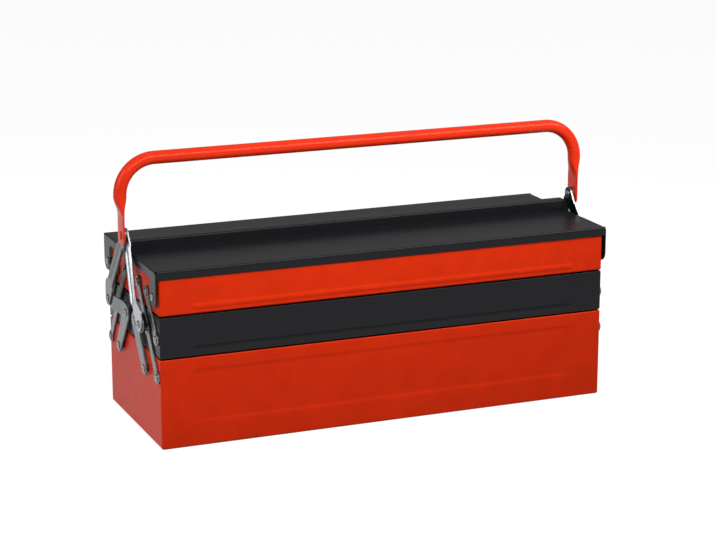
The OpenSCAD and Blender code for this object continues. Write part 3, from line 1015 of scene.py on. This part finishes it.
def lever_set(distance, sizes):
    """Share of the full set at a distance outwards from the leg: a ramp with eased ends."""
    share = (distance - sizes.set_from) / sizes.set_run
    soft = 0.09  # share of the ramp that each eased end takes
    if share < soft:
        return max(0.0, share + soft) ** 2 / (4 * soft)
    if share > 1 - soft:
        return 1 - max(0.0, 1 - share + soft) ** 2 / (4 * soft)
    return share


class TOOLBOX_OT_levers(bpy.types.Operator):
    """Punch the levers and set their elbow ends outwards"""

    bl_idname = "toolbox.levers"
    bl_label = "Levers"

    def execute(self, context):
        sizes = context.scene.link_sizes
        bore = sizes.pin + sizes.clearance
        offset = ELBOW_X1 - STRIP - LEVER_X0
        leg = MID_INNER - BOX_INNER
        outwards = Vector((leg.y, -leg.x)).normalized()
        beyond = 1.5 * MM
        first, width = sizes.set_from - beyond, sizes.set_run + 2 * beyond
        for half, end, h, e in CORNERS:
            node = f"{half}_{end}_lever"
            holes = [circle(p, bore) for p in (BOX_INNER, MID_INNER, ELBOW)]
            bm = blank(lever_outline(sizes), holes, STRIP, EASED_EDGE)
            cut_lines(bm, MID_INNER, outwards, [first + width * i / 16 for i in range(17)])
            for v in bm.verts:
                distance = (Vector((v.co.x, v.co.y)) - MID_INNER).dot(outwards)
                v.co.z += offset * lever_set(distance, sizes)
            stand_up(bm, LEVER_X0)
            finish_mesh(
                node + "_crank", bm, h, e, f"{half}_levers", [node],
                finish("zinc"), sharp=40,
            )
        return {"FINISHED"}


def arm_outline(sizes, back):
    """Outline of an arm in (distance from the apex, distance outwards).

    Its wide part lies back from the elbow.
    """
    length = (ELBOW - APEX).length
    r, k = sizes.arm, sizes.knuckle
    wide = Vector((length - back, sizes.knuckle_out))
    start = Vector((length - sizes.flange_to, 0))
    foot = Vector((length, 0))
    to_foot = tangent_angles(wide, foot, k, r)[0]
    to_start = tangent_angles(start, wide, r, k)[0]
    points = arc((0, 0), r, math.pi / 2, 1.5 * math.pi, 18)
    points += arc(foot, r, -math.pi / 2, to_foot, 18)
    points += arc(wide, k, to_foot, to_start, 14)
    points += arc(start, r, to_start, math.pi / 2, 3)
    return points


def press_arm(bm, x0, sizes):
    """Raises the edge flanges of an arm's blank, sets its foot outwards and stands it up at x0."""
    length = (ELBOW - APEX).length
    toward = (ELBOW - APEX) / length
    across = Vector((-toward.y, toward.x))
    begin, stop = sizes.flange_from, length - sizes.flange_to
    foot_x0 = ELBOW_X1 + ELBOW_GAP
    r = sizes.arm
    web = r - STRIP
    roll, run_out, dip = 1.6 * MM, 4.8 * MM, 1.3 * MM

    # Lines along both edges for the flanges' bends, and across the arm where the flanges run out.
    rows = [web - roll + 0.4 * MM * i for i in range(6)]
    rows += [r - 1.5 * MM, r - 1.0 * MM, r - 0.6 * MM]
    for side in (1, -1):
        cut_lines(bm, (0, 0), (0, side), rows)
    steps = [0.6 * MM * i for i in range(9)]
    cut_lines(bm, (0, 0), (1, 0), sorted([begin + s for s in steps] + [stop - s for s in steps]))
    for v in bm.verts:
        u, a, w = v.co
        flanged = ease((u - begin) / run_out) * ease((stop - u) / run_out)
        if w > STRIP / 2:
            on_strip = abs(a) < r + 0.001 * MM
            lift = sizes.arm_flange * (ease((abs(a) - web + roll) / (2 * MM)) if on_strip else 1)
        else:
            over = min(max(0.0, abs(a) - (r - roll)) / roll, 1.0)
            lift = dip * (1 - math.sqrt(1 - over * over))
        set_out = (foot_x0 - x0) * min(max((u - begin) / (stop - begin), 0.0), 1.0)
        v.co = Vector((x0 + w + set_out + lift * flanged, *(APEX + toward * u + across * a)))


class TOOLBOX_OT_arms(bpy.types.Operator):
    """Press the four channelled arms that carry the handle"""

    bl_idname = "toolbox.arms"
    bl_label = "Arms"

    def execute(self, context):
        sizes = context.scene.link_sizes
        length = (ELBOW - APEX).length
        bore = sizes.pin + sizes.clearance
        kinds = {
            # The front arms take the lighter copy of the zinc, with painted reflection in its
            # colour.
            "front": (sizes.handle_pin + sizes.clearance, sizes.knuckle_back, "bright_zinc"),
            "rear": (sizes.handle_pin + sizes.rear_play, sizes.rear_knuckle_back, "zinc"),
        }
        for half, end, h, e in CORNERS:
            hole, back, plating = kinds[half]
            node = f"{half}_{end}_arm"
            holes = [circle((0, 0), hole), circle((length, 0), bore)]
            bm = blank(arm_outline(sizes, back), holes, STRIP, EASED_EDGE)
            press_arm(bm, ARM_X0[half], sizes)
            arm = finish_mesh(
                node + "_channel", bm, h, e, f"{half}_arms", [node],
                finish(plating), sharp=40,
            )
            # Painted shade: faces turned towards the box get the near-black copy of the zinc.
            arm.data.materials.append(finish("shaded_inner_zinc"))
            for face in arm.data.polygons:
                in_painted_shade = face.normal.x * e < -0.3
                face.material_index = int(in_painted_shade)
        return {"FINISHED"}


# --- Rivets ---


def turned(bm, at, profile, segments, end, half):
    """Turns a profile of (x, radius) points round the X axis at a (y, z) point of one corner."""
    rings = []
    for x, radius in profile:
        spots = circle(at, radius, segments) if radius > TINY else [at]
        rings.append([bm.verts.new((x * end, y * half, z)) for y, z in spots])
    for a, b in zip(rings, rings[1:]):
        for i in range(segments):
            j = (i + 1) % segments
            if len(a) == 1:
                bm.faces.new((a[0], b[i], b[j]))
            elif len(b) == 1:
                bm.faces.new((a[i], b[0], a[j]))
            else:
                bm.faces.new((a[i], b[i], b[j], a[j]))


def dome(x, radius, height, way, dimple):
    """Profile of a domed head from its flat underside at x out to its middle.

    A dimpled head keeps a flat crown round the dimple that the riveting punch leaves.
    """
    rim = height * 0.28
    crown = 0.42 if dimple else 0.0  # share of the head's radius
    points = [(x, radius), (x + way * rim, radius)]
    points += [
        (x + way * (rim + (height - rim) * math.sin(a)),
         radius * (crown + (1 - crown) * math.cos(a)))
        for a in quarter_turn(7)[1:]
    ]
    if not dimple:
        return points[:-1] + [(x + way * height, 0.0)]
    for depth, share in ((0.06 * MM, 0.36), (0.55 * MM, 0.30), (0.60 * MM, 0.0)):
        points.append((x + way * (height - depth), radius * share))
    return points


def rivet_profile(x0, x1, shank, head, height, dimple=True, shoulder=None):
    """A rivet from its inner head under x0 to its outer head over x1.

    A shoulder runs from one x to another, at a radius.
    """
    inner = dome(x0, head, height, -1, False)
    middle = [(x0, shank)]
    if shoulder:
        sx0, sx1, sr = shoulder
        middle += [(sx0, shank), (sx0, sr), (sx1, sr), (sx1, shank)]
    middle.append((x1, shank))
    return inner[::-1] + middle + dome(x1, head, height, 1, dimple)


def rivet_set(stem, spots, halves, body, segments):
    """One object for the like rivets of a node, at both ends of the given halves."""
    bm = bmesh.new()
    for end in ENDS.values():
        for half in halves:
            for at, profile in spots:
                turned(bm, at, profile, segments, end, half)
    return finish_mesh(
        stem + "_rivet_set", bm, 1, 1, body, [stem + "_rivets"],
        finish("rivet"), sharp=50,
    )


class TOOLBOX_OT_rivets(bpy.types.Operator):
    """Turn every rivet of the box, the trays, the lids, the elbows and the handle"""

    bl_idname = "toolbox.rivets"
    bl_label = "Rivets"

    def execute(self, context):
        s = context.scene.link_sizes
        sheet = context.scene.sheet_sizes.sheet
        wall = END_X - sheet
        gap = s.head_gap
        shoulder_r = s.head - 0.5 * MM
        link_head = (s.pin, s.head, s.head_height)
        over_link = rivet_profile(wall, LINK_X1 + gap, *link_head)
        over_lever = rivet_profile(
            wall, LEVER_X0 + STRIP + gap, *link_head, shoulder=(END_X, LEVER_X0 - gap, shoulder_r),
        )
        over_ear = rivet_profile(
            wall, LID_X + gap, *link_head, shoulder=(END_X, LID_X - sheet - gap, shoulder_r),
        )
        elbow = rivet_profile(
            ELBOW_X1 - STRIP - gap, ELBOW_X1 + ELBOW_GAP + STRIP + gap, *link_head,
        )
        handle_top = HANDLE_RIVET_X1 - s.head_height
        apex = rivet_profile(
            ARM_X0["front"] - gap, handle_top, s.handle_pin, s.handle_head, s.head_height, False,
        )
        n = s.segments
        box = [(BOX_OUTER, over_link), (BOX_INNER, over_lever)]
        middle = [(MID_OUTER, over_link), (MID_UPPER, over_link), (MID_INNER, over_lever)]
        top = [(TOP_INNER, over_link), (TOP_UPPER, over_link)]
        rivet_set("box", box, HALVES.values(), "box", n)
        pins = rivet_set("handle", [(APEX, apex)], [1], "handle", n)
        pins.data.materials.append(finish("handle"))
        for face in pins.data.polygons:
            on_outer_head = abs(face.center.x) > handle_top - 0.1 * MM
            face.material_index = int(on_outer_head)
        for half, h in HALVES.items():
            rivet_set(f"{half}_middle_tray", middle, [h], f"{half}_middle_tray", n)
            rivet_set(f"{half}_top_tray", top, [h], f"{half}_top_tray", n)
            rivet_set(f"{half}_lid", [(HINGE, over_ear)], [h], f"{half}_top_tray", n)
            rivet_set(f"{half}_elbow", [(ELBOW, elbow)], [h], f"{half}_levers", n)
        return {"FINISHED"}


# --- Handle ---


def handle_section(share, sizes, count=40):
    """Points across and along Y of the tube, from round (0) to flattened (1)."""
    r = sizes.tube / 2
    square_across, square_along = 0.32, 0.85  # powers: 1 is an ellipse, less is more square
    points = []
    for i in range(count):
        a = 2 * math.pi * i / count
        c, s = math.cos(a), math.sin(a)
        flat_x = FLAT_THICKNESS / 2 * math.copysign(abs(c) ** square_across, c)
        flat_y = sizes.flat_width / 2 * math.copysign(abs(s) ** square_along, s)
        points.append((r * c * (1 - share) + flat_x * share, r * s * (1 - share) + flat_y * share))
    return points


def handle_end(flat_mid, leg_x, bend_x, bend_z, sizes):
    """Sections of the right end: the flattened foot, the leg and the bend up to the bar."""
    flat, tube = handle_section(1, sizes), handle_section(0, sizes)
    half_w, corner = sizes.flat_width / 2, sizes.flat_corner
    low = APEX[1] - sizes.flat_drop
    flat_z = APEX[1] + sizes.flat_rise
    edge, edge_share = 0.5 * MM, 0.55  # height of the eased lower edge, and its least thickness
    swell = 0.05  # share that the tube widens by halfway to the flat

    def section(points, mid, z, thin=1.0, narrow=1.0):
        """A level section about an X, thinned across and narrowed along Y."""
        return [Vector((mid + x * thin, y * narrow, z)) for x, y in points]

    rings = []
    for a in quarter_turn(10):
        z = low + corner * (1 - math.cos(a))
        thin = min(1.0, edge_share + (1 - edge_share) * (z - low) / edge)
        narrow = (half_w - corner + corner * math.sin(a)) / half_w
        rings.append(section(flat, flat_mid, z, thin, narrow))
    rings += [section(flat, flat_mid, z) for z in spread([low + corner, flat_z], 5 * MM)[1:]]
    for i in range(1, 19):
        t = i / 18
        share = 1 - ease(t)
        mid = flat_mid * share + leg_x * (1 - share)
        points = handle_section(share, sizes)
        z = flat_z + sizes.flat_run * t
        rings.append(section(points, mid, z, narrow=1 + swell * math.sin(math.pi * t)))
    leg = spread([flat_z + sizes.flat_run, bend_z], 6 * MM)
    rings += [section(tube, leg_x, z) for z in leg[1:]]
    for a in quarter_turn(20)[1:]:
        rings.append([
            Vector((bend_x + (sizes.bend + x) * math.cos(a), y,
                    bend_z + (sizes.bend + x) * math.sin(a)))
            for x, y in tube
        ])
    return rings


class TOOLBOX_OT_handle(bpy.types.Operator):
    """Bend the handle's tube and flatten its ends"""

    bl_idname = "toolbox.handle"
    bl_label = "Handle"

    def execute(self, context):
        s = context.scene.handle_sizes
        links = context.scene.link_sizes
        under_head = HANDLE_RIVET_X1 - links.head_height - links.head_gap
        leg_x, bar_z = HANDLE_X1 - s.tube / 2, HANDLE_TOP - s.tube / 2
        bend_x = leg_x - s.bend
        right = handle_end(under_head - FLAT_THICKNESS / 2, leg_x, bend_x, bar_z - s.bend, s)
        bar = [
            [Vector((x0, y, bar_z + x)) for x, y in handle_section(0, s)]
            for x0 in reversed(spread([-bend_x, bend_x], 20 * MM)[1:-1])
        ]
        left = [[Vector((-p.x, p.y, p.z)) for p in ring] for ring in reversed(right)]
        bm = bmesh.new()
        add_loops(bm, right + bar + left)
        finish_mesh(
            "handle_tube", bm, 1, 1, "handle", ["handle"], finish("handle"), sharp=45,
        )
        return {"FINISHED"}


# --- Stage ---


def lay_floor(material, reach=6, drop=0.6 * MM):
    """A wide floor, a hair below the box."""
    bm = bmesh.new()
    sides = ((-1, -1), (1, -1), (1, 1), (-1, 1))
    bm.faces.new([bm.verts.new((x * reach, y * reach, -drop)) for x, y in sides])
    mesh = bpy.data.meshes.new("floor")
    bm.to_mesh(mesh)
    bm.free()
    mesh.materials.append(material)
    panel = bpy.data.objects.new("floor", mesh)
    bpy.context.scene.collection.objects.link(panel)


def area_lamp(name, at, aim, size, power):
    """A soft rectangular lamp that faces a point, unseen by the camera."""
    data = bpy.data.lights.new(name, "AREA")
    data.shape = "RECTANGLE"
    data.size, data.size_y = size
    data.energy = power
    lamp = bpy.data.objects.new(name, data)
    lamp.location = at
    lamp.rotation_mode = "QUATERNION"
    lamp.rotation_quaternion = (Vector(aim) - Vector(at)).to_track_quat("-Z", "Y")
    lamp.visible_camera = False
    bpy.context.scene.collection.objects.link(lamp)


def floor_paint(shown=0.46, lift=0.78, bounce=0.14):
    """Matt white floor: shown pale with its shadows, and throwing little light back at the box."""
    material = bpy.data.materials.new("pale_floor")
    material.use_nodes = True
    material.node_tree.nodes.clear()
    n = Nodes(material.node_tree)
    lit = n.add("ShaderNodeBsdfDiffuse", Color=(shown, shown, shown, 1))
    glow = n.add("ShaderNodeEmission", Color=(1, 1, 1, 1), Strength=lift)
    dim = n.add("ShaderNodeBsdfDiffuse", Color=(bounce, bounce, bounce, 1))
    both, mix = n.add("ShaderNodeAddShader"), n.add("ShaderNodeMixShader")
    rays = n.add("ShaderNodeLightPath").outputs
    seen = rays["Is Camera Ray"]
    for kind in ("Is Glossy Ray", "Is Transmission Ray"):
        either = n.add("ShaderNodeMath", operation="MAXIMUM")
        n.join(seen, either.inputs[0])
        n.join(rays[kind], either.inputs[1])
        seen = either.outputs[0]
    n.join(lit.outputs[0], both.inputs[0])
    n.join(glow.outputs[0], both.inputs[1])
    n.join(seen, mix.inputs[0])
    n.join(dim.outputs[0], mix.inputs[1])
    n.join(both.outputs[0], mix.inputs[2])
    n.join(mix.outputs[0], n.add("ShaderNodeOutputMaterial").inputs["Surface"])
    return material


def studio_sky(zenith, horizon):
    """Even room light, brighter overhead than at the walls."""
    world = bpy.data.worlds.new("studio")
    world.use_nodes = True
    n = Nodes(world.node_tree)
    split = n.add("ShaderNodeSeparateXYZ")
    n.join(n.add("ShaderNodeTexCoord").outputs["Generated"], split.inputs["Vector"])
    room = world.node_tree.nodes["Background"].inputs
    wall_top, ceiling = 0.05, 0.85
    light = n.remap(split.outputs["Z"], wall_top, ceiling, horizon, zenith, "SMOOTHSTEP")
    n.join(light, room["Strength"])
    room["Color"].default_value = (1, 1, 1, 1)
    return world


class TOOLBOX_OT_stage(bpy.types.Operator):
    """Set up the floor, the lamps and the camera"""

    bl_idname = "toolbox.stage"
    bl_label = "Stage"

    def execute(self, context):
        scene = context.scene
        s = scene.studio_sizes
        scene.view_settings.view_transform = "Standard"

        lay_floor(floor_paint())
        scene.world = studio_sky(s.zenith, s.horizon)
        area_lamp(
            "overhead_softbox", at=(0.08, -0.37, 0.56), aim=(0, -0.09, 0.17),
            size=(1.3, 0.2), power=s.key,
        )
        area_lamp(
            "left_softbox", at=(-1.3, -0.25, 0.7), aim=(-0.27, 0, 0.12),
            size=(0.8, 0.8), power=s.side,
        )

        camera = bpy.data.cameras.new("camera")
        camera.lens = s.lens
        camera.sensor_width = 36
        holder = bpy.data.objects.new("camera", camera)
        scene.collection.objects.link(holder)
        back = Vector((
            math.sin(s.azimuth) * math.cos(s.elevation),
            -math.cos(s.azimuth) * math.cos(s.elevation),
            math.sin(s.elevation),
        ))
        holder.location = Vector(s.aim) + back * s.distance
        holder.rotation_mode = "QUATERNION"
        holder.rotation_quaternion = (-back).to_track_quat("-Z", "Y")
        scene.camera = holder
        return {"FINISHED"}


# --- Panel and registration ---

STEPS = (
    TOOLBOX_OT_bottom_box,
    TOOLBOX_OT_middle_trays,
    TOOLBOX_OT_top_trays,
    TOOLBOX_OT_lids,
    TOOLBOX_OT_links,
    TOOLBOX_OT_levers,
    TOOLBOX_OT_arms,
    TOOLBOX_OT_rivets,
    TOOLBOX_OT_handle,
    TOOLBOX_OT_stage,
)


GROUPS = {
    "sheet_sizes": SheetSizes,
    "link_sizes": LinkSizes,
    "handle_sizes": HandleSizes,
    "finishes": Finishes,
    "studio_sizes": StudioSizes,
}


class TOOLBOX_PT_pieces(bpy.types.Panel):
    """Lists the pieces of the tool box and their sizes"""

    bl_label = "Tool box"
    bl_idname = "TOOLBOX_PT_pieces"
    bl_space_type = "VIEW_3D"
    bl_region_type = "UI"
    bl_category = "Tool box"

    def draw(self, context):
        for step in STEPS:
            self.layout.operator(step.bl_idname)
        for name, group in GROUPS.items():
            column = self.layout.column(align=True)
            for size in group.__annotations__:
                column.prop(getattr(context.scene, name), size)


def register():
    for name, group in GROUPS.items():
        bpy.utils.register_class(group)
        setattr(bpy.types.Scene, name, PointerProperty(type=group))
    for step in STEPS:
        bpy.utils.register_class(step)
    bpy.utils.register_class(TOOLBOX_PT_pieces)


def unregister():
    bpy.utils.unregister_class(TOOLBOX_PT_pieces)
    for step in reversed(STEPS):
        bpy.utils.unregister_class(step)
    for name, group in GROUPS.items():
        delattr(bpy.types.Scene, name)
        bpy.utils.unregister_class(group)


def main():
    """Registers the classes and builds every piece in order."""
    register()
    for step in STEPS:
        family, name = step.bl_idname.split(".")
        getattr(getattr(bpy.ops, family), name)()


if __name__ == "__main__":
    main()
